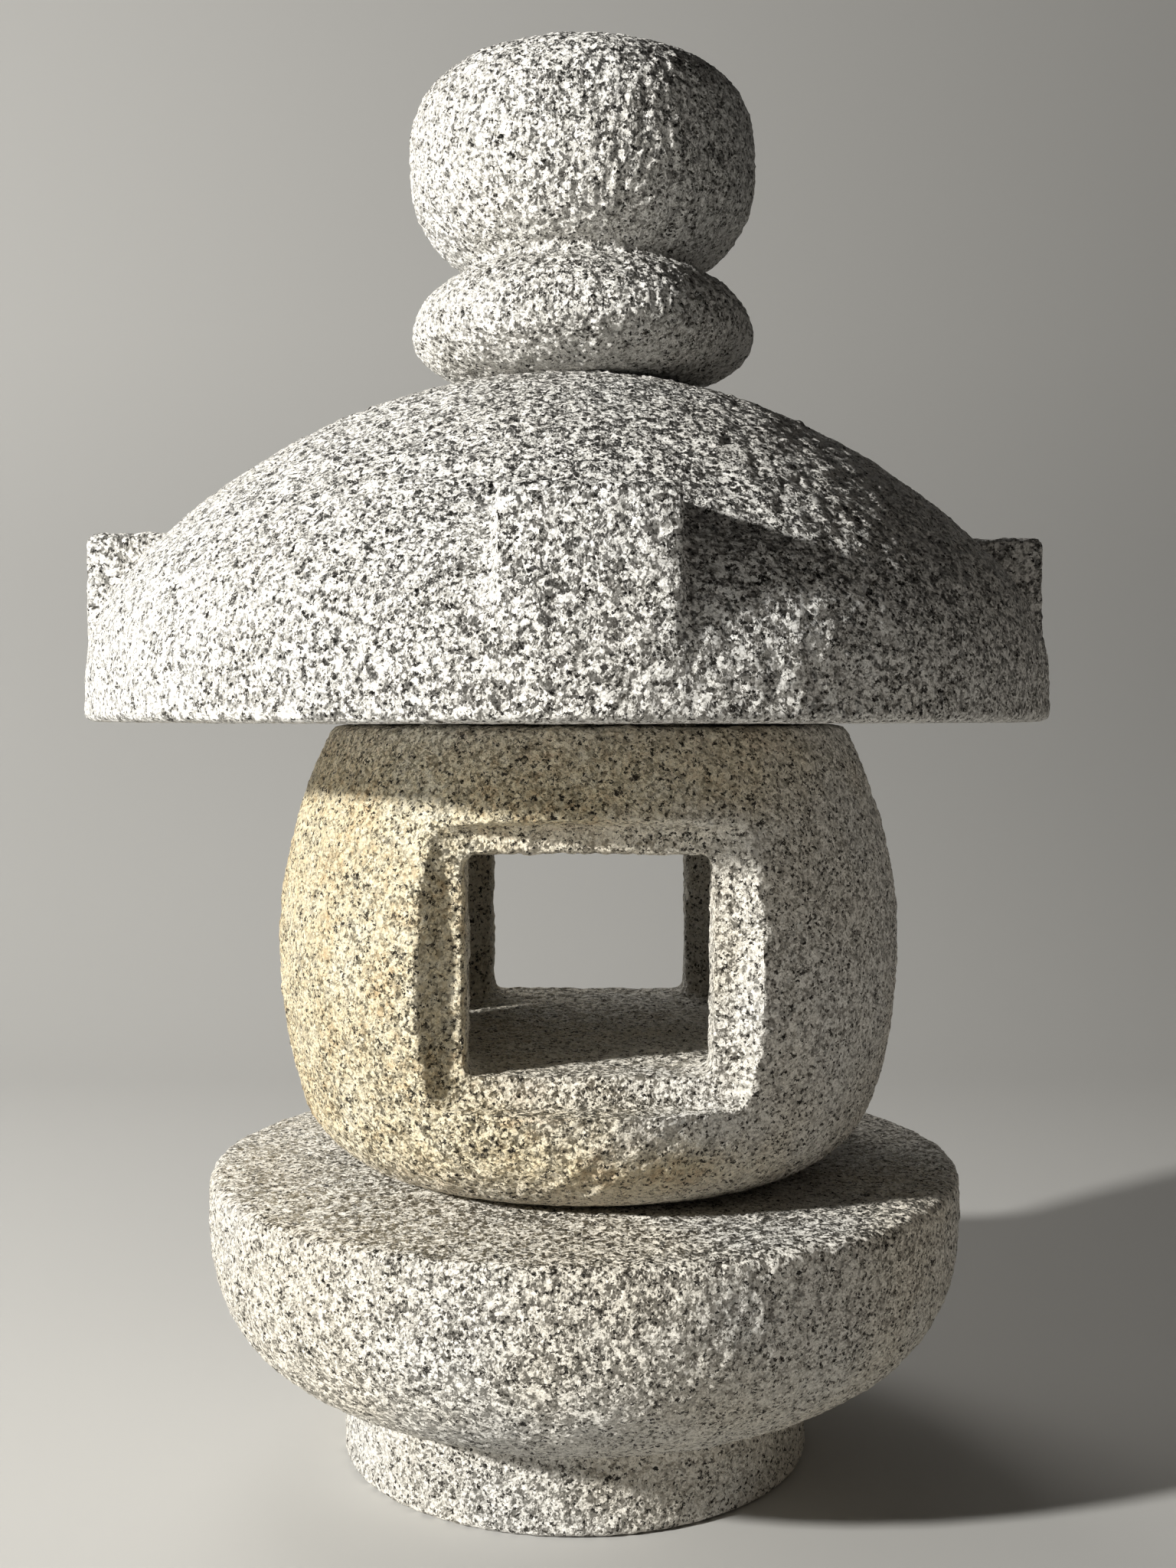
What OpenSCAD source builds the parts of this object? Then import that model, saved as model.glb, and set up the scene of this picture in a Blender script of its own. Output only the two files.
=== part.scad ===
// Garden stone lantern, carved in granite: four loose stones stacked on one axis.
// From the ground up: base stone with its foot, firebox, roof with four blocks, jewel finial.
// Millimetres, +Z up. The origin is on the ground, under the middle of the roof.

/* [Base stone] */
// Radius of the round foot
foot_r = 74; // [50:1:80]
// Offset of the foot from the middle of the bowl, as it was carved
foot_shift = -3; // [-4:0.5:4]
// Greatest radius of the bowl-shaped base
bowl_r = 118.8; // [100:0.1:140]
// Height above the ground at which the bowl is widest
bowl_widest_z = 80.7; // [78:0.1:84]
// How far below its widest circle the bowl's curve would close
bowl_drop = 64.1; // [50:0.1:70]
// Fullness of the bowl's underside, 2 for an ellipse, more for a squarer one
bowl_fullness = 2.7; // [2:0.1:4]
// Height of the base's flat top
base_top_z = 92.2; // [91:0.1:96]
// Rounding of the base's top edge
base_edge_r = 4; // [2:0.5:6]

/* [Firebox] */
// Height of the firebox stone
firebox_h = 137.8; // [125:0.1:150]
// Greatest radius of the barrel-shaped firebox
barrel_r = 98.1; // [90:0.1:105]
// Radius of the barrel's vertical curve
barrel_curve_r = 150.4; // [130:0.1:200]
// Height of the barrel's widest circle above the firebox's underside
barrel_widest_h = 67.9; // [60:0.1:75]
// Rounding of the barrel's lower edge, under which a narrow gap shows
barrel_low_edge_r = 32; // [4:1:36]
// Rounding of the barrel's upper edge
barrel_top_edge_r = 4; // [1:0.5:6]
// Width of each window opening
window_w = 67.4; // [50:0.1:76]
// Height of the sill above the firebox's underside
sill_h = 41.2; // [36:0.1:46]
// Height of each window opening
window_h = 59.9; // [50:0.1:64]
// Distance from the axis to the flat ledge round each window
ledge_depth = 79.5; // [68.5:0.1:82]
// Width of the ledge round each window, at the sides
ledge_side = 6.8; // [4:0.1:10]
// Width of the ledge under each window
ledge_below = 8.3; // [4:0.1:10]
// Width of the ledge over each window
ledge_above = 7.5; // [4:0.1:13]
// Widening of the recess at each side, for each millimetre outward
splay_side = 1.15; // [0:0.01:1.5]
// Fall of the recess's floor, for each millimetre outward
splay_below = 0.05; // [0:0.01:0.3]
// Rise of the recess's head, for each millimetre outward
splay_above = 0.25; // [0:0.01:0.6]
// Radius of the round chamber behind the windows
chamber_r = 68; // [60:0.5:68]
// Radius of the chamber's open mouth, under the roof
mouth_r = 52; // [40:0.5:60]
// Radius of the round hole in each side wall
side_hole_r = 12; // [8:0.5:20]

/* [Roof] */
// Greatest radius of the roof
roof_r = 149; // [140:0.5:153]
// Height of the roof stone, up to the seat of the finial
roof_h = 104.5; // [100:0.1:105]
// Radius of the roof's domed curve
dome_curve_r = 198; // [196:0.5:206]
// How far beyond the axis the centre of the domed curve lies
dome_past_axis = 11.2; // [5:0.1:15]
// Depth of the domed curve's centre below the roof's underside
dome_below = 87.3; // [84:0.1:90]
// Radius of the shoulder between the dome and the upright rim
shoulder_r = 56; // [20:1:62]
// Rounding of the roof's lower edge
rim_edge_r = 3; // [1:0.5:6]
// Width of each of the four blocks on the roof
block_w = 46; // [30:0.5:60]
// Height of the blocks' flat tops above the roof's underside
block_h = 58; // [45:0.5:65]
// Rounding of the blocks' upper edges
block_edge_r = 3.5; // [1:0.5:6]
// Radius of the socket that takes the finial's tenon
socket_r = 22; // [21:0.5:26]
// Depth of the socket
socket_depth = 25; // [24:0.5:30]

/* [Finial] */
// Greatest radius of the lower cushion
cushion_r = 54.3; // [48:0.1:60]
// Height of the cushion's widest circle above its seat
cushion_widest_h = 14.7; // [13:0.1:18]
// Height of the cushion's upper curve
cushion_rise = 26.9; // [25:0.1:30]
// Depth of the cushion's lower curve, if it weren't cut flat at its seat
cushion_drop = 19.9; // [19:0.1:24]
// Greatest radius of the jewel
jewel_r = 54.8; // [48:0.1:60]
// Height of the jewel's widest circle above the seat
jewel_widest_h = 67.3; // [64:0.1:70]
// Height of the jewel's upper curve
jewel_rise = 35.5; // [32:0.1:44]
// Depth of the jewel's lower curve, whose end is inside the cushion
jewel_drop = 36.7; // [35:0.1:40]
// Fullness of the jewel's upper curve, 2 for an ellipse, more for a squarer one
jewel_top_fullness = 2.9; // [2:0.1:3.2]
// Fullness of the jewel's lower curve
jewel_low_fullness = 2.5; // [2:0.1:3]
// Radius of the tenon under the finial
tenon_r = 20; // [12:0.5:20]
// Length of the tenon
tenon_len = 22; // [12:0.5:23]

/* [Stacking] */
// Gap in each joint between two stones, where only the high points of the rough beds touch
bed_gap = 0.3; // [0.2:0.1:1]
// Offset of the base stone from the roof's axis, as loose stones settle
base_slip = 5.2; // [-8:0.1:8]
// Offset of the firebox from the roof's axis
firebox_slip = 6.5; // [-8:0.1:8]
// Offset of the finial from the roof's axis
finial_slip = 4.6; // [-6:0.1:6]
// Turn of the firebox about its axis
firebox_turn = 0; // [-45:0.1:45]
// Turn of the roof about its axis
roof_turn = 2.7; // [-45:0.1:45]

/* [Hidden] */
$fn = 96;
curve_steps = 14;                              // chords in each curved stretch of an outline
edge_steps = 4;                                // chords in each small rounded edge
cushion_fullness = [2.17, 1.88];               // above and below the cushion's widest circle
firebox_z = base_top_z + bed_gap;
firebox_top_z = firebox_z + firebox_h;
roof_z = firebox_top_z + bed_gap;
seat_z = roof_z + roof_h;
finial_z = seat_z + bed_gap;
sill_z = firebox_z + sill_h;
head_z = sill_z + window_h;
side_hole_z = sill_z + window_h * 0.35;
stone_white = [0.80, 0.79, 0.77];
stone_tan = [0.74, 0.68, 0.56];
over = 5;                                      // how far a cutter runs past the stone

// Points on an arc about [cx, cz], from one angle to another
function arc(cx, cz, r, from, to, steps) =
    [for (i = [0:steps]) let (a = from + (to - from) * i / steps) [cx + r * cos(a), cz + r * sin(a)]];

// Points on a superellipse quadrant about height z: rise is negative for a lower quadrant
function swell(z, r, rise, n, from, to, steps) =
    [for (i = [0:steps]) let (a = from + (to - from) * i / steps)
        [r * pow(cos(a), 2 / n), z + rise * pow(sin(a), 2 / n)]];

// Distance from the axis to the centre of a rounded edge of radius e, which touches the level
// z from inside (side is +1 above it, -1 below it) and an arc of radius r about [cx, cz]
function edge_x(cx, cz, r, z, side, e) = cx + sqrt(pow(r - e, 2) - pow(z + side * e - cz, 2));

module turned(outline) { rotate_extrude() polygon(outline); }

// Base stone ------------------------------------------------------------------------------------
bowl_end_r = foot_r - 4;                       // radius of the bowl's flat underside
bowl_end = acos(pow(bowl_end_r / bowl_r, bowl_fullness / 2));
bowl_end_z = bowl_widest_z - bowl_drop * pow(sin(bowl_end), 2 / bowl_fullness);
foot_edge_r = 1.5;

module bowl() {
    turned(concat(
        [[0, bowl_end_z]],
        swell(bowl_widest_z, bowl_r, -bowl_drop, bowl_fullness, bowl_end, 0, curve_steps),
        arc(bowl_r - base_edge_r, base_top_z - base_edge_r, base_edge_r, 0, 90, edge_steps),
        [[0, base_top_z]]));
}

module foot() {
    turned(concat(
        [[0, 0]],
        arc(foot_r - foot_edge_r, foot_edge_r, foot_edge_r, -90, 0, edge_steps),
        [[foot_r, bowl_end_z + over], [0, bowl_end_z + over]]));
}

module base() {
    color(stone_white) translate([base_slip, 0, 0]) {
        bowl();
        translate([foot_shift, 0, 0]) foot();
    }
}

// Firebox ---------------------------------------------------------------------------------------
barrel_cx = barrel_r - barrel_curve_r;
barrel_cz = firebox_z + barrel_widest_h;
barrel_x0 = edge_x(barrel_cx, barrel_cz, barrel_curve_r, firebox_z, 1, barrel_low_edge_r);
barrel_x1 = edge_x(barrel_cx, barrel_cz, barrel_curve_r, firebox_top_z, -1, barrel_top_edge_r);
barrel_a0 = atan2(firebox_z + barrel_low_edge_r - barrel_cz, barrel_x0 - barrel_cx);
barrel_a1 = atan2(firebox_top_z - barrel_top_edge_r - barrel_cz, barrel_x1 - barrel_cx);

module barrel() {
    turned(concat(
        [[0, firebox_z]],
        arc(barrel_x0, firebox_z + barrel_low_edge_r, barrel_low_edge_r, -90, barrel_a0, curve_steps),
        arc(barrel_cx, barrel_cz, barrel_curve_r, barrel_a0, barrel_a1, 2 * curve_steps),
        arc(barrel_x1, firebox_top_z - barrel_top_edge_r, barrel_top_edge_r, barrel_a1, 90, edge_steps),
        [[0, firebox_top_z]]));
}

// Splayed recess of the front window, from its ledge out past the barrel's surface
module recess() {
    reach = barrel_r + over - ledge_depth;
    near_x = window_w / 2 + ledge_side;
    far_x = near_x + reach * splay_side;
    low = sill_z - ledge_below;
    high = head_z + ledge_above;
    intersection() {
        translate([0, 0, low - over])
            linear_extrude(high - low + 2 * over)
                polygon([[-near_x, -ledge_depth], [near_x, -ledge_depth],
                    [far_x, -ledge_depth - reach], [-far_x, -ledge_depth - reach]]);
        rotate([90, 0, 90])
            translate([0, 0, -far_x - over])
                linear_extrude(2 * (far_x + over))
                    polygon([[-ledge_depth, low], [-ledge_depth, high],
                        [-ledge_depth - reach, high + reach * splay_above],
                        [-ledge_depth - reach, low - reach * splay_below]]);
    }
}

module firebox() {
    color(stone_tan) translate([firebox_slip, 0, 0]) rotate([0, 0, firebox_turn]) difference() {
        barrel();
        translate([-window_w / 2, -barrel_r - over, sill_z])
            cube([window_w, 2 * (barrel_r + over), window_h]);
        for (turn = [0, 180])
            rotate([0, 0, turn]) recess();
        translate([0, 0, sill_z]) cylinder(h = window_h, r = chamber_r);
        translate([0, 0, sill_z + over]) cylinder(h = firebox_top_z - sill_z, r = mouth_r);
        translate([0, 0, side_hole_z]) rotate([0, 90, 0])
            cylinder(h = 2 * (barrel_r + over), r = side_hole_r, center = true);
    }
}

// Roof ------------------------------------------------------------------------------------------
dome_cx = -dome_past_axis;
dome_cz = roof_z - dome_below;
shoulder_x = roof_r - shoulder_r;
shoulder_z = dome_cz + sqrt(pow(dome_curve_r - shoulder_r, 2) - pow(shoulder_x - dome_cx, 2));
shoulder_a = atan2(shoulder_z - dome_cz, shoulder_x - dome_cx);
seat_a = asin((seat_z - dome_cz) / dome_curve_r);   // where the dome is cut flat for the finial

module dome() {
    turned(concat(
        [[0, roof_z]],
        arc(roof_r - rim_edge_r, roof_z + rim_edge_r, rim_edge_r, -90, 0, edge_steps),
        arc(shoulder_x, shoulder_z, shoulder_r, 0, shoulder_a, curve_steps),
        arc(dome_cx, dome_cz, dome_curve_r, shoulder_a, seat_a, 2 * curve_steps),
        [[0, seat_z]]));
}

// The blocks are the ends of two crossed bars, which are inside the dome in the middle
module blocks() {
    low_z = roof_z + rim_edge_r;
    edge_z = roof_z + block_h - block_edge_r;
    edge_y = block_w / 2 - block_edge_r;
    intersection() {
        turned(concat(
            [[0, low_z], [roof_r, low_z]],
            arc(roof_r - block_edge_r, edge_z, block_edge_r, 0, 90, edge_steps),
            [[0, roof_z + block_h]]));
        for (turn = [0, 90])
            rotate([90, 0, turn]) linear_extrude(2 * (roof_r + over), center = true)
                polygon(concat(
                    [[-block_w / 2, low_z - over], [block_w / 2, low_z - over]],
                    arc(edge_y, edge_z, block_edge_r, 0, 90, edge_steps),
                    arc(-edge_y, edge_z, block_edge_r, 90, 180, edge_steps)));
    }
}

module roof() {
    color(stone_white) difference() {
        rotate([0, 0, roof_turn]) {
            dome();
            blocks();
        }
        translate([finial_slip, 0, seat_z - socket_depth])
            cylinder(h = socket_depth + over, r = socket_r);
    }
}

// Finial ----------------------------------------------------------------------------------------
cushion_z = finial_z + cushion_widest_h;
jewel_z = finial_z + jewel_widest_h;
cushion_end = asin(pow(cushion_widest_h / cushion_drop, cushion_fullness[1] / 2));

module cushion() {
    turned(concat(
        [[0, finial_z]],
        swell(cushion_z, cushion_r, -cushion_drop, cushion_fullness[1], cushion_end, 0, curve_steps),
        swell(cushion_z, cushion_r, cushion_rise, cushion_fullness[0], 0, 90, curve_steps)));
}

module jewel() {
    turned(concat(
        swell(jewel_z, jewel_r, -jewel_drop, jewel_low_fullness, 90, 0, curve_steps),
        swell(jewel_z, jewel_r, jewel_rise, jewel_top_fullness, 0, 90, curve_steps)));
}

module finial() {
    color(stone_white) translate([finial_slip, 0, 0]) {
        cushion();
        jewel();
        translate([0, 0, finial_z - tenon_len]) cylinder(h = tenon_len + over, r = tenon_r);
    }
}

base();
firebox();
roof();
finial();
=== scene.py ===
import math

import bpy
import numpy as np
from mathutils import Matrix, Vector, noise


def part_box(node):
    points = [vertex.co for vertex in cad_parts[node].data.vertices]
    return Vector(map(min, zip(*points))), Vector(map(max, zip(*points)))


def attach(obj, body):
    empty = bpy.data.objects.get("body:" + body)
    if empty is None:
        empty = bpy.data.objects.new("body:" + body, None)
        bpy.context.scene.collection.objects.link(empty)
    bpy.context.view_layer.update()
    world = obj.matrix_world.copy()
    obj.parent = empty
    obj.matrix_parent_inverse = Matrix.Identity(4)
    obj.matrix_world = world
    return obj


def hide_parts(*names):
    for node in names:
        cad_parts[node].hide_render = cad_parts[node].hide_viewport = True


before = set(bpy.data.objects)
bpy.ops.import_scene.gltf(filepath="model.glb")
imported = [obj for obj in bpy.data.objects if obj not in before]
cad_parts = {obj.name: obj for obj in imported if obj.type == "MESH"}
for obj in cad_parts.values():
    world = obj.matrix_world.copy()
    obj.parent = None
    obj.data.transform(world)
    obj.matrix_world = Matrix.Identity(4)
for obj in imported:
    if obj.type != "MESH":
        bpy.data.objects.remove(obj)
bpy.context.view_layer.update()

MM = 0.001                    # the scene is in metres

# ---- The stones. slot: the name of the material. warmth: how warm its granite is, 0 to 1.
# stained: whether iron has stained it. voxel: the size of its mesh's cells in mm. wear: rounds of
# smoothing, which round its edges. marks: the depth of its tool marks against the usual. run: its
# chisel strokes go up the side ("z") or down the dome ("radius"). lean: how far they lean.
# seed: the place in the noise that its tool marks come from.
USUAL = dict(stained=False, wear=3, marks=1.0, run="z", lean=0.0)
STONES = {
    "base": dict(USUAL, slot="granite_base", warmth=1.0, voxel=1.3, marks=0.8, seed=11.0),
    "firebox": dict(
        USUAL, slot="granite_firebox", warmth=0.8, stained=True, voxel=1.5, lean=1.0, seed=23.0),
    "roof": dict(
        USUAL, slot="granite_roof", warmth=0.3, voxel=1.6, marks=1.15, run="radius", seed=37.0),
    "finial": dict(USUAL, slot="granite_finial", warmth=0.3, voxel=0.9, wear=5, seed=53.0),
}

# ---- The tool marks, with sizes and depths in mm
LUMPS = ((30.0, 0.45), (11.0, 0.30))          # size and depth of each slow unevenness
PIT_SIZE, PIT_DEPTH = 4.2, 0.50               # hammer pits
PIT_RISE = 1.6                                # how steeply a pit climbs to the ridge round it
GRIT_SIZE, GRIT_DEPTH = 2.6, 0.42             # broken grains
GRIT_FALL, GRIT_GAP, GRIT_OCTAVES = 0.75, 2.1, 3      # its noise, from coarse to fine
STROKE_WIDTH, STROKE_LENGTH, STROKE_DEPTH = 3.4, 8.0, 0.8
STROKE_R = 100.0                              # the stones' rough radius, which spaces the strokes
CROWD_SIZE, CROWD_MEAN, CROWD_SWING = 40.0, 0.45, 0.5     # patches of many strokes or few
SINK = 0.62                                   # keeps nearly all the marks below the CAD surface
SEAT_KEEP = 0.25                              # share of the marks that a resting face keeps
RIM_START, RIM_RISE = 1.5, 4.0                # height over an underside where they come in


# ---- Meshes
def even_mesh(node, voxel, wear):
    """A new object in the CAD node's shape, with an even mesh and its arrises worn round."""
    piece = bpy.data.objects.new(node + "_stone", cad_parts[node].data.copy())
    bpy.context.scene.collection.objects.link(piece)
    weld = piece.modifiers.new("weld", "WELD")
    weld.merge_threshold = 0.01 * MM
    remesh = piece.modifiers.new("remesh", "REMESH")
    remesh.mode = "VOXEL"
    remesh.voxel_size = voxel * MM
    smooth = piece.modifiers.new("wear", "SMOOTH")
    smooth.factor = 0.5
    smooth.iterations = wear
    ready = piece.evaluated_get(bpy.context.evaluated_depsgraph_get())
    mesh = bpy.data.meshes.new_from_object(ready)
    piece.modifiers.clear()
    piece.data = mesh
    mesh.name = piece.name
    return piece


def vertex_table(source, name):
    """One three-number property of every vertex or vertex normal, as an array."""
    table = np.empty(len(source) * 3)
    source.foreach_get(name, table)
    return table.reshape(-1, 3)


def tool_marks(point, axis, how):
    """Height in mm, rarely above 0, of the hammered surface at a point in mm."""
    p = Vector(point) + Vector((how["seed"], how["seed"] * 1.7, how["seed"] * 0.6))
    lumps = sum(noise.noise(p / size) * depth for size, depth in LUMPS)
    near = noise.voronoi(p / PIT_SIZE)[0]
    pits = min(1.0, (near[1] - near[0]) * PIT_RISE) * PIT_DEPTH
    grit = noise.fractal(p / GRIT_SIZE, GRIT_FALL, GRIT_GAP, GRIT_OCTAVES) * GRIT_DEPTH
    x, y, z = point[0] - axis[0], point[1] - axis[1], point[2]
    turn = math.atan2(y, x) - how["lean"] * z / STROKE_R
    along = math.hypot(x, y) if how["run"] == "radius" else z
    stroke = noise.noise(Vector((
        math.cos(turn) * STROKE_R / STROKE_WIDTH,
        math.sin(turn) * STROKE_R / STROKE_WIDTH,
        along / STROKE_LENGTH)))
    crowd = max(0.0, noise.noise(p / CROWD_SIZE) * CROWD_SWING + CROWD_MEAN)
    return lumps - pits + grit + stroke * crowd * STROKE_DEPTH - SINK


def hammer(piece, node, how):
    """Cuts the tool marks into the piece, never outward, so that it stays within its CAD shape."""
    mesh = piece.data
    at = vertex_table(mesh.vertices, "co")
    out = vertex_table(mesh.vertex_normals, "vector")
    low, high = (np.array(corner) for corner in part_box(node))
    axis = (low + high) / 2 / MM
    depth = np.array([tool_marks(p, axis, how) for p in at / MM]) * how["marks"] * MM
    # The edge round the underside is dressed smooth, and so is the bed itself
    rise = np.clip((at[:, 2] - low[2] - RIM_START * MM) / (RIM_RISE * MM), 0.0, 1.0)
    depth *= SEAT_KEEP + (1 - SEAT_KEEP) * rise
    at += out * np.minimum(depth, 0.0)[:, None]
    at = np.clip(at, low, high)
    mesh.vertices.foreach_set("co", at.ravel())
    mesh.polygons.foreach_set("use_smooth", np.ones(len(mesh.polygons), dtype=bool))
    mesh.update()


# ---- Materials
def rgb(red, green, blue):
    return (red, green, blue, 1.0)


def grey(level):
    return (level, level, level, 1.0)


class Nodes:
    """Adds and links the nodes of one material."""

    def __init__(self, name):
        self.material = bpy.data.materials.new(name)
        self.material.use_nodes = True
        self.tree = self.material.node_tree
        self.tree.nodes.clear()

    def add(self, kind, inputs=None, **settings):
        node = self.tree.nodes.new(kind)
        for key, value in settings.items():
            setattr(node, key, value)
        for key, value in (inputs or {}).items():
            self.feed(node.inputs[key], value)
        return node

    def feed(self, socket, value):
        if isinstance(value, bpy.types.NodeSocket):
            self.tree.links.new(value, socket)
        else:
            socket.default_value = value

    def math(self, operation, a, b=0.0):
        return self.add("ShaderNodeMath", {0: a, 1: b}, operation=operation).outputs[0]

    def swing(self, value, amount):
        """How far a value is from a half, times an amount."""
        return self.math("MULTIPLY", self.math("SUBTRACT", value, 0.5), amount)

    def vector(self, operation, a, b):
        return self.add("ShaderNodeVectorMath", {0: a, 1: b}, operation=operation).outputs[0]

    def scaled(self, vector, factor):
        inputs = {0: vector, "Scale": factor}
        return self.add("ShaderNodeVectorMath", inputs, operation="SCALE").outputs[0]

    def measure(self, operation, *vectors):
        """A number from one vector or two: a length or a dot product."""
        node = self.add("ShaderNodeVectorMath", dict(enumerate(vectors)), operation=operation)
        return node.outputs["Value"]

    def noise(self, at, per_mm, detail=2.0, rough=0.5):
        inputs = {"Vector": at, "Scale": per_mm, "Detail": detail, "Roughness": rough}
        return self.add("ShaderNodeTexNoise", inputs).outputs

    def cells(self, at, per_mm):
        inputs = {"Vector": at, "Scale": per_mm, "Randomness": 1.0}
        return self.add("ShaderNodeTexVoronoi", inputs, feature="F1").outputs

    def channels(self, colour):
        return self.add("ShaderNodeSeparateColor", {0: colour}).outputs

    def ramp(self, value, stops, interpolation="LINEAR"):
        node = self.add("ShaderNodeValToRGB", {0: value})
        ramp = node.color_ramp
        ramp.interpolation = interpolation
        while len(ramp.elements) < len(stops):
            ramp.elements.new(1.0)
        for element, (place, colour) in zip(ramp.elements, stops):
            element.position = place
            element.color = colour
        return node.outputs[0]

    def mix(self, factor, a, b, blend="MIX"):
        # Inputs 0, 6 and 7 and output 2 are the ones that a mix of colours uses
        inputs = {0: factor, 6: a, 7: b}
        return self.add("ShaderNodeMix", inputs, data_type="RGBA", blend_type=blend).outputs[2]

    def step(self, value, low, high):
        """0 to 1 as the value goes from low to high, where low may be the greater."""
        inputs = {"Value": value, "From Min": low, "From Max": high}
        return self.add("ShaderNodeMapRange", inputs, interpolation_type="SMOOTHSTEP").outputs[0]


# Granite: how many grains, patches and so on there are to a mm, and lengths in mm
GRAINS_PER_MM, GRAIN_BEND = 1.4, 2.2          # fine grains, and how far their outlines wander
CRYSTALS_PER_MM, CRYSTAL_PULL = 0.55, 0.25    # coarse crystals, whose grains are more alike
PATCHES_PER_MM, PATCH_PULL = 0.06, 0.22       # patches with more black specks or fewer
DUST_PER_MM, DUST_AMOUNT = 2.2, 0.35
DRIFTS_PER_MM = 0.018
FLECKS_PER_MM, FLECK_BEND = 0.085, 6.0        # the places where a large fleck of mica may be
FLECK_R, FLECK_SHARE = 0.10, 0.5              # its radius in a place's size, and how many have one
RELIEF_PER_MM, RELIEF_HEIGHT = 0.55, 1.7      # small tool marks, finer than the mesh
FACETS = ((0.60, 1.8), (1.25, 1.6))           # broken facets per mm, and how much they slant
FACET_BEND = 0.7
SOFT_SHARE, SOFT_DEPTH = 0.10, 0.25           # the mica grains, and how deep they crumble

HALF = (0.5, 0.5, 0.5)
MICA = rgb(0.045, 0.040, 0.036)
MINERALS = [                                  # from black mica to pale feldspar and quartz
    (0.00, rgb(0.030, 0.027, 0.024)), (0.065, rgb(0.13, 0.12, 0.105)),
    (0.11, rgb(0.40, 0.39, 0.365)), (0.20, rgb(0.67, 0.66, 0.635)),
    (0.36, rgb(0.85, 0.84, 0.815)), (0.62, rgb(0.93, 0.92, 0.90))]
DUST = [(0.28, grey(0.60)), (0.66, grey(1.0))]
DRIFT = [(0.35, rgb(0.99, 0.975, 0.94)), (0.65, rgb(1.0, 0.945, 0.84))]
GLOSS = [(0.0, grey(0.42)), (0.12, grey(0.62)), (0.6, grey(0.82))]


def mica_flecks(n, at, wobble):
    """1 inside the rare large flecks of mica, and 0 elsewhere."""
    fleck = n.cells(n.vector("ADD", at, n.scaled(wobble, FLECK_BEND)), FLECKS_PER_MM)
    chosen = n.math("GREATER_THAN", n.channels(fleck["Color"])[1], FLECK_SHARE)
    return n.math("MULTIPLY", n.math("LESS_THAN", fleck["Distance"], FLECK_R), chosen)


def broken_relief(n, at, wobble, kind):
    """Height in mm of the marks finer than the mesh: hammered relief whose broken crystals each
    lie at their own slant, with the soft mica grains crumbled out."""
    rough = n.noise(at, RELIEF_PER_MM, detail=2.0, rough=0.55)["Fac"]
    relief = n.math("MULTIPLY", rough, RELIEF_HEIGHT)
    eased = n.vector("ADD", at, n.scaled(wobble, FACET_BEND))
    for per_mm, slant in FACETS:
        broken = n.cells(eased, per_mm)
        lean = n.vector("SUBTRACT", broken["Color"], HALF)
        across = n.vector("SUBTRACT", at, broken["Position"])
        rise = n.measure("DOT_PRODUCT", lean, across)
        relief = n.math("ADD", relief, n.math("MULTIPLY", rise, slant))
    soft = n.math("LESS_THAN", kind, SOFT_SHARE)
    return n.math("SUBTRACT", relief, n.math("MULTIPLY", soft, SOFT_DEPTH))


# Iron stain, with lengths in mm from the middle of the firebox
STAIN_NONE, STAIN_FULL = 48.0, -30.0          # how far right it ends, and from where it's full
STAIN_WANDER = 120.0                          # how far its edge wanders to and fro
STAIN_WAIST = -4.0                            # the height where it reaches the least far right
STAIN_REACH = 46.0                            # how much further it reaches near top and bottom
STAIN_REACH_START, STAIN_REACH_END = 34.0, 60.0
THIN_R, THICK_R = 76.0, 90.0                  # it thins from the second radius in to the first
THIN_KEEP = 0.4                               # share that's left inside, where the recesses are
WANDER_PER_MM, FINE_PER_MM, BROAD_PER_MM = 0.03, 0.35, 0.055
FINE_RUST = 0.6                               # share of the fine mottling in its colour
RUST = [(0.38, rgb(0.95, 0.90, 0.755)), (0.52, rgb(0.93, 0.84, 0.63)),
    (0.64, rgb(0.72, 0.56, 0.35))]


def iron_stain(n, at, colour):
    """Yellow-brown iron stain, strongest on the firebox's left, thin inside its recesses."""
    low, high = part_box("firebox")
    middle_x = (low[0] + high[0]) / 2 / MM
    middle_z = (low[2] + high[2]) / 2 / MM
    split = n.add("ShaderNodeSeparateXYZ", {0: at})
    x = n.math("SUBTRACT", split.outputs[0], middle_x)
    wander = n.swing(n.noise(at, WANDER_PER_MM, detail=4.0)["Fac"], STAIN_WANDER)
    away = n.math("ABSOLUTE", n.math("SUBTRACT", split.outputs[2], middle_z + STAIN_WAIST))
    reach = n.math("MULTIPLY", n.step(away, STAIN_REACH_START, STAIN_REACH_END), STAIN_REACH)
    side = n.math("SUBTRACT", n.math("ADD", x, wander), reach)
    amount = n.step(side, STAIN_NONE, STAIN_FULL)
    flat = n.add("ShaderNodeCombineXYZ", {0: x, 1: split.outputs[1]})
    outside = n.step(n.measure("LENGTH", flat.outputs[0]), THIN_R, THICK_R)
    kept = n.math("ADD", n.math("MULTIPLY", outside, 1 - THIN_KEEP), THIN_KEEP)
    amount = n.math("MULTIPLY", amount, kept)
    fine = n.math("MULTIPLY", n.noise(at, FINE_PER_MM, detail=4.0, rough=0.7)["Fac"], FINE_RUST)
    broad = n.math("MULTIPLY", n.noise(at, BROAD_PER_MM, detail=3.0)["Fac"], 1 - FINE_RUST)
    rust = n.ramp(n.math("ADD", fine, broad), RUST)
    return n.mix(amount, colour, n.mix(1.0, colour, rust, "MULTIPLY"))


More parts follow.
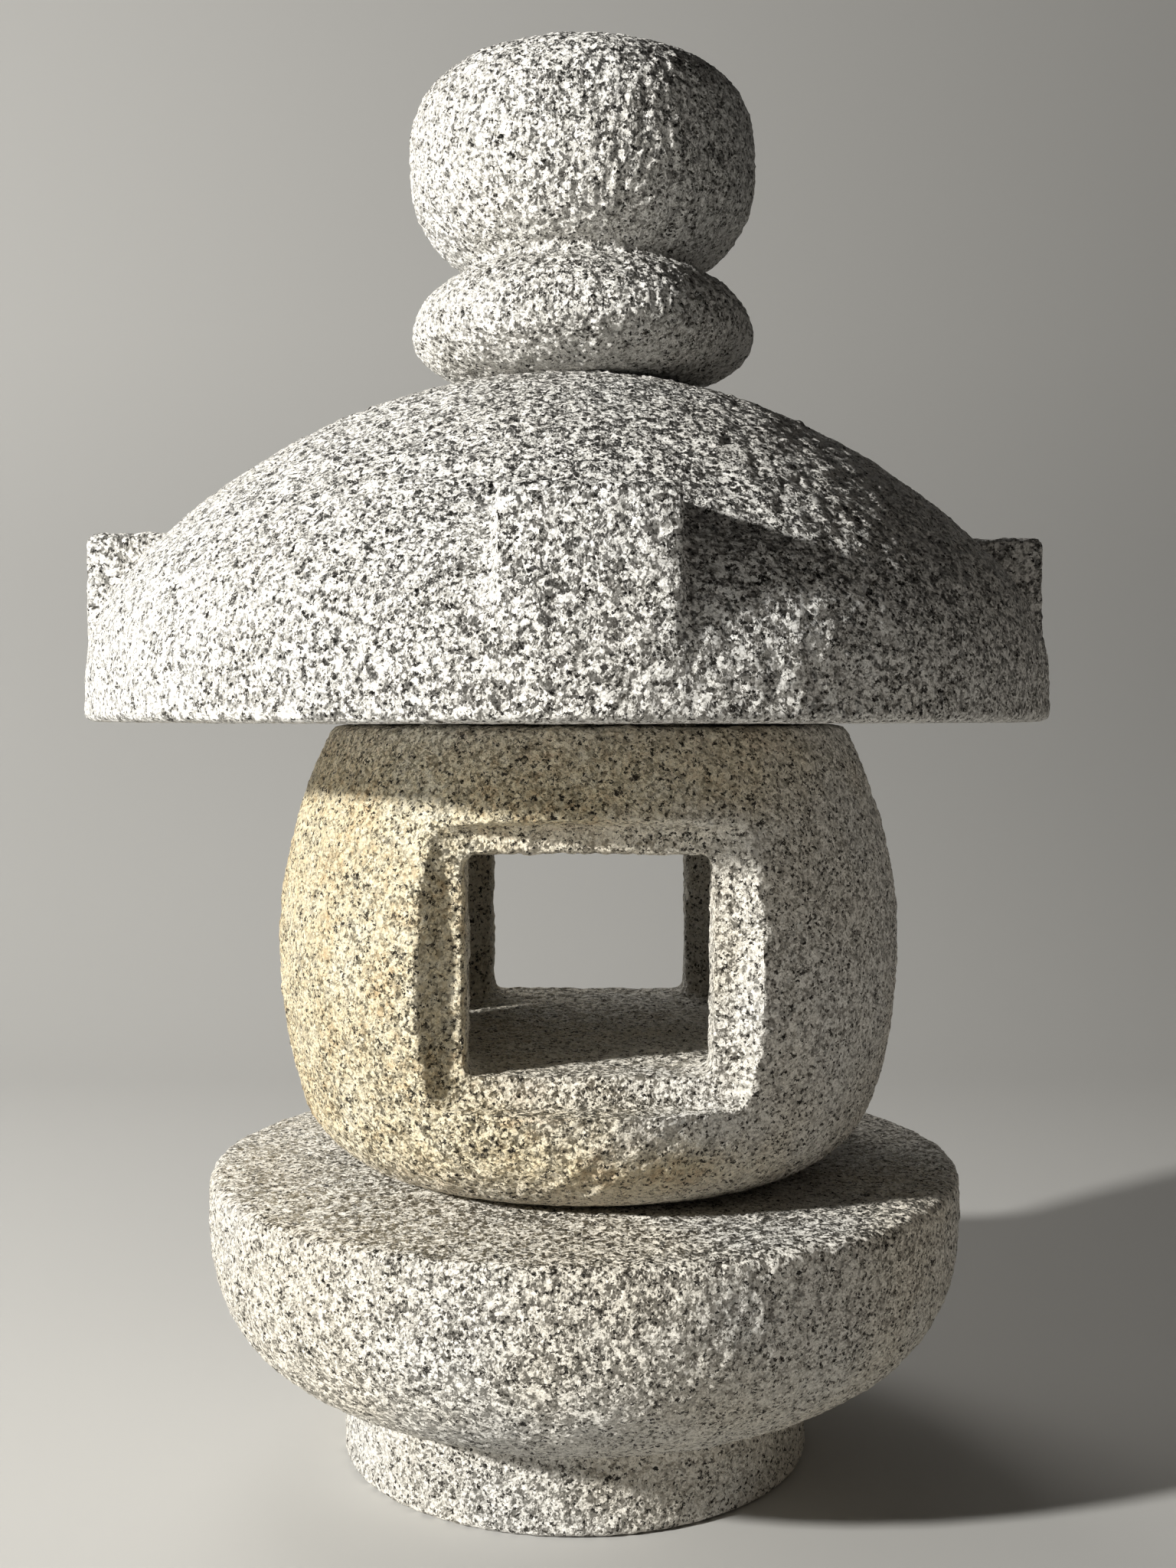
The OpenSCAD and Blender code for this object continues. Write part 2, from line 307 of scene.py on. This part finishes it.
def granite(name, warmth, stained):
    """Grey-white granite: feldspar, quartz and black mica grains over a hammered surface."""
    n = Nodes(name)
    place = n.add("ShaderNodeTexCoord").outputs["Object"]
    at = n.scaled(place, 1 / MM)

    # Grains of irregular outline
    wobble = n.noise(at, GRAINS_PER_MM, detail=3.0, rough=0.6)["Color"]
    wobble = n.vector("SUBTRACT", wobble, HALF)
    bent = n.vector("ADD", at, n.scaled(wobble, GRAIN_BEND))
    grain = n.channels(n.cells(bent, GRAINS_PER_MM)["Color"])
    crystal = n.channels(n.cells(bent, CRYSTALS_PER_MM)["Color"])
    patch = n.noise(at, PATCHES_PER_MM, detail=3.0)["Fac"]
    kind = n.math("ADD", grain[0], n.swing(patch, PATCH_PULL))
    kind = n.math("ADD", kind, n.swing(crystal[0], CRYSTAL_PULL))
    minerals = n.ramp(kind, MINERALS, "CONSTANT")
    dust = n.ramp(n.noise(at, DUST_PER_MM, detail=3.0, rough=0.7)["Fac"], DUST)
    colour = n.mix(DUST_AMOUNT, minerals, dust, "MULTIPLY")
    colour = n.mix(mica_flecks(n, at, wobble), colour, MICA)

    # Slow drift from cool to warm stone
    tint = n.ramp(n.noise(at, DRIFTS_PER_MM)["Fac"], DRIFT)
    colour = n.mix(warmth, colour, tint, "MULTIPLY")
    if stained:
        colour = iron_stain(n, at, colour)

    relief = broken_relief(n, at, wobble, kind)
    bump = n.add("ShaderNodeBump", {"Height": relief, "Strength": 1.0, "Distance": MM})
    shader = n.add("ShaderNodeBsdfPrincipled", {
        "Base Color": colour, "Roughness": n.ramp(grain[2], GLOSS),
        "Specular IOR Level": 0.42, "Normal": bump.outputs[0]})
    output = n.add("ShaderNodeOutputMaterial", {"Surface": shader.outputs[0]})
    output.is_active_output = True
    return n.material


for node, how in STONES.items():
    stone = even_mesh(node, how["voxel"], how["wear"])
    hammer(stone, node, how)
    stone.data.materials.clear()
    stone.data.materials.append(granite(how["slot"], how["warmth"], how["stained"]))
    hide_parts(node)
    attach(stone, node)


# ---- Stage
def backdrop_paint(name, floor_colour, wall_colour, fade):
    """Matt paint, which goes from the floor's shade to the wall's over the height fade."""
    n = Nodes(name)
    place = n.add("ShaderNodeTexCoord").outputs["Object"]
    height = n.add("ShaderNodeSeparateXYZ", {0: place}).outputs[2]
    colour = n.mix(n.step(height, 0.0, fade), floor_colour, wall_colour)
    shader = n.add("ShaderNodeBsdfPrincipled", {"Base Color": colour, "Roughness": 0.9})
    n.add("ShaderNodeOutputMaterial", {"Surface": shader.outputs[0]})
    return n.material


def sweep(name, half_width, front, back, bend, top, steps=24):
    """A floor that curves up into a backdrop, from y = front to the wall at y = back."""
    outline = [(front, 0.0)]
    for i in range(steps + 1):
        turn = math.radians(90.0 * i / steps)
        outline.append((back - bend + bend * math.sin(turn), bend - bend * math.cos(turn)))
    outline.append((back, top))
    points = [(x, y, z) for y, z in outline for x in (-half_width, half_width)]
    faces = [(2 * i, 2 * i + 1, 2 * i + 3, 2 * i + 2) for i in range(len(outline) - 1)]
    mesh = bpy.data.meshes.new(name)
    mesh.from_pydata(points, [], faces)
    mesh.polygons.foreach_set("use_smooth", [True] * len(faces))
    thing = bpy.data.objects.new(name, mesh)
    bpy.context.scene.collection.objects.link(thing)
    return thing


FLOOR_PAINT = rgb(0.57, 0.565, 0.55)
WALL_PAINT = rgb(0.47, 0.465, 0.455)
floor = sweep("floor", half_width=4.0, front=-4.0, back=1.15, bend=0.6, top=3.0)
floor.data.materials.append(backdrop_paint("pale_floor", FLOOR_PAINT, WALL_PAINT, fade=0.4))


# ---- Light: a small lamp at the front left, higher than the jewel, and dim soft light besides
def lamp(name, kind, energy, colour, place):
    thing = bpy.data.objects.new(name, bpy.data.lights.new(name, kind))
    thing.data.energy = energy
    thing.data.color = colour
    thing.location = place
    bpy.context.scene.collection.objects.link(thing)
    return thing


def card(name, energy, colour, size, place, target, spread):
    """A dim soft lamp in place of light that a studio throws back. The camera doesn't see it."""
    thing = lamp(name, "AREA", energy, colour, place)
    thing.data.shape = "RECTANGLE"
    thing.data.size, thing.data.size_y = size
    thing.data.spread = math.radians(spread)
    thing.rotation_euler = (Vector(target) - Vector(place)).to_track_quat("-Z", "Y").to_euler()
    thing.visible_camera = False


key = lamp("key", "POINT", energy=131.0, colour=(1.0, 0.985, 0.94), place=(-1.19, -0.716, 0.665))
key.data.shadow_soft_size = 0.045
# From the floor at the right, which reaches the lower stones most, and from high up behind
card("bounce", energy=0.06, colour=(1.0, 0.90, 0.78), size=(0.4, 0.25),
    place=(0.42, -0.30, 0.03), target=(0.05, 0.0, 0.11), spread=60.0)
card("behind", energy=1.3, colour=(1.0, 0.97, 0.93), size=(0.6, 0.6),
    place=(-0.35, 0.80, 0.95), target=(0.0, 0.0, 0.22), spread=110.0)

# The room beyond the backdrop looks pale, and the fill that it gives is dim
world = bpy.data.worlds.new("studio")
world.use_nodes = True
sky = world.node_tree
fill = sky.nodes["Background"]
fill.inputs["Color"].default_value = rgb(1.0, 0.82, 0.70)
fill.inputs["Strength"].default_value = 0.005
wall = sky.nodes.new("ShaderNodeBackground")
wall.inputs["Color"].default_value = rgb(0.58, 0.57, 0.555)
choose = sky.nodes.new("ShaderNodeMixShader")
sky.links.new(sky.nodes.new("ShaderNodeLightPath").outputs["Is Camera Ray"], choose.inputs[0])
sky.links.new(fill.outputs[0], choose.inputs[1])
sky.links.new(wall.outputs[0], choose.inputs[2])
sky.links.new(choose.outputs[0], sky.nodes["World Output"].inputs["Surface"])
bpy.context.scene.world = world

# ---- Camera: level with the roof's underside, less than two lantern heights away
DOWNWARD = 2.29               # degrees below level
camera = bpy.data.objects.new("camera", bpy.data.cameras.new("camera"))
camera.data.sensor_width = 36.0
camera.data.lens = 40.4
camera.data.clip_start = 0.02
camera.location = (6.2 * MM, -561.7 * MM, 233.2 * MM)
camera.rotation_euler = (math.radians(90.0 - DOWNWARD), 0.0, 0.0)
bpy.context.scene.collection.objects.link(camera)
bpy.context.scene.camera = camera
bpy.context.scene.view_settings.view_transform = "Standard"
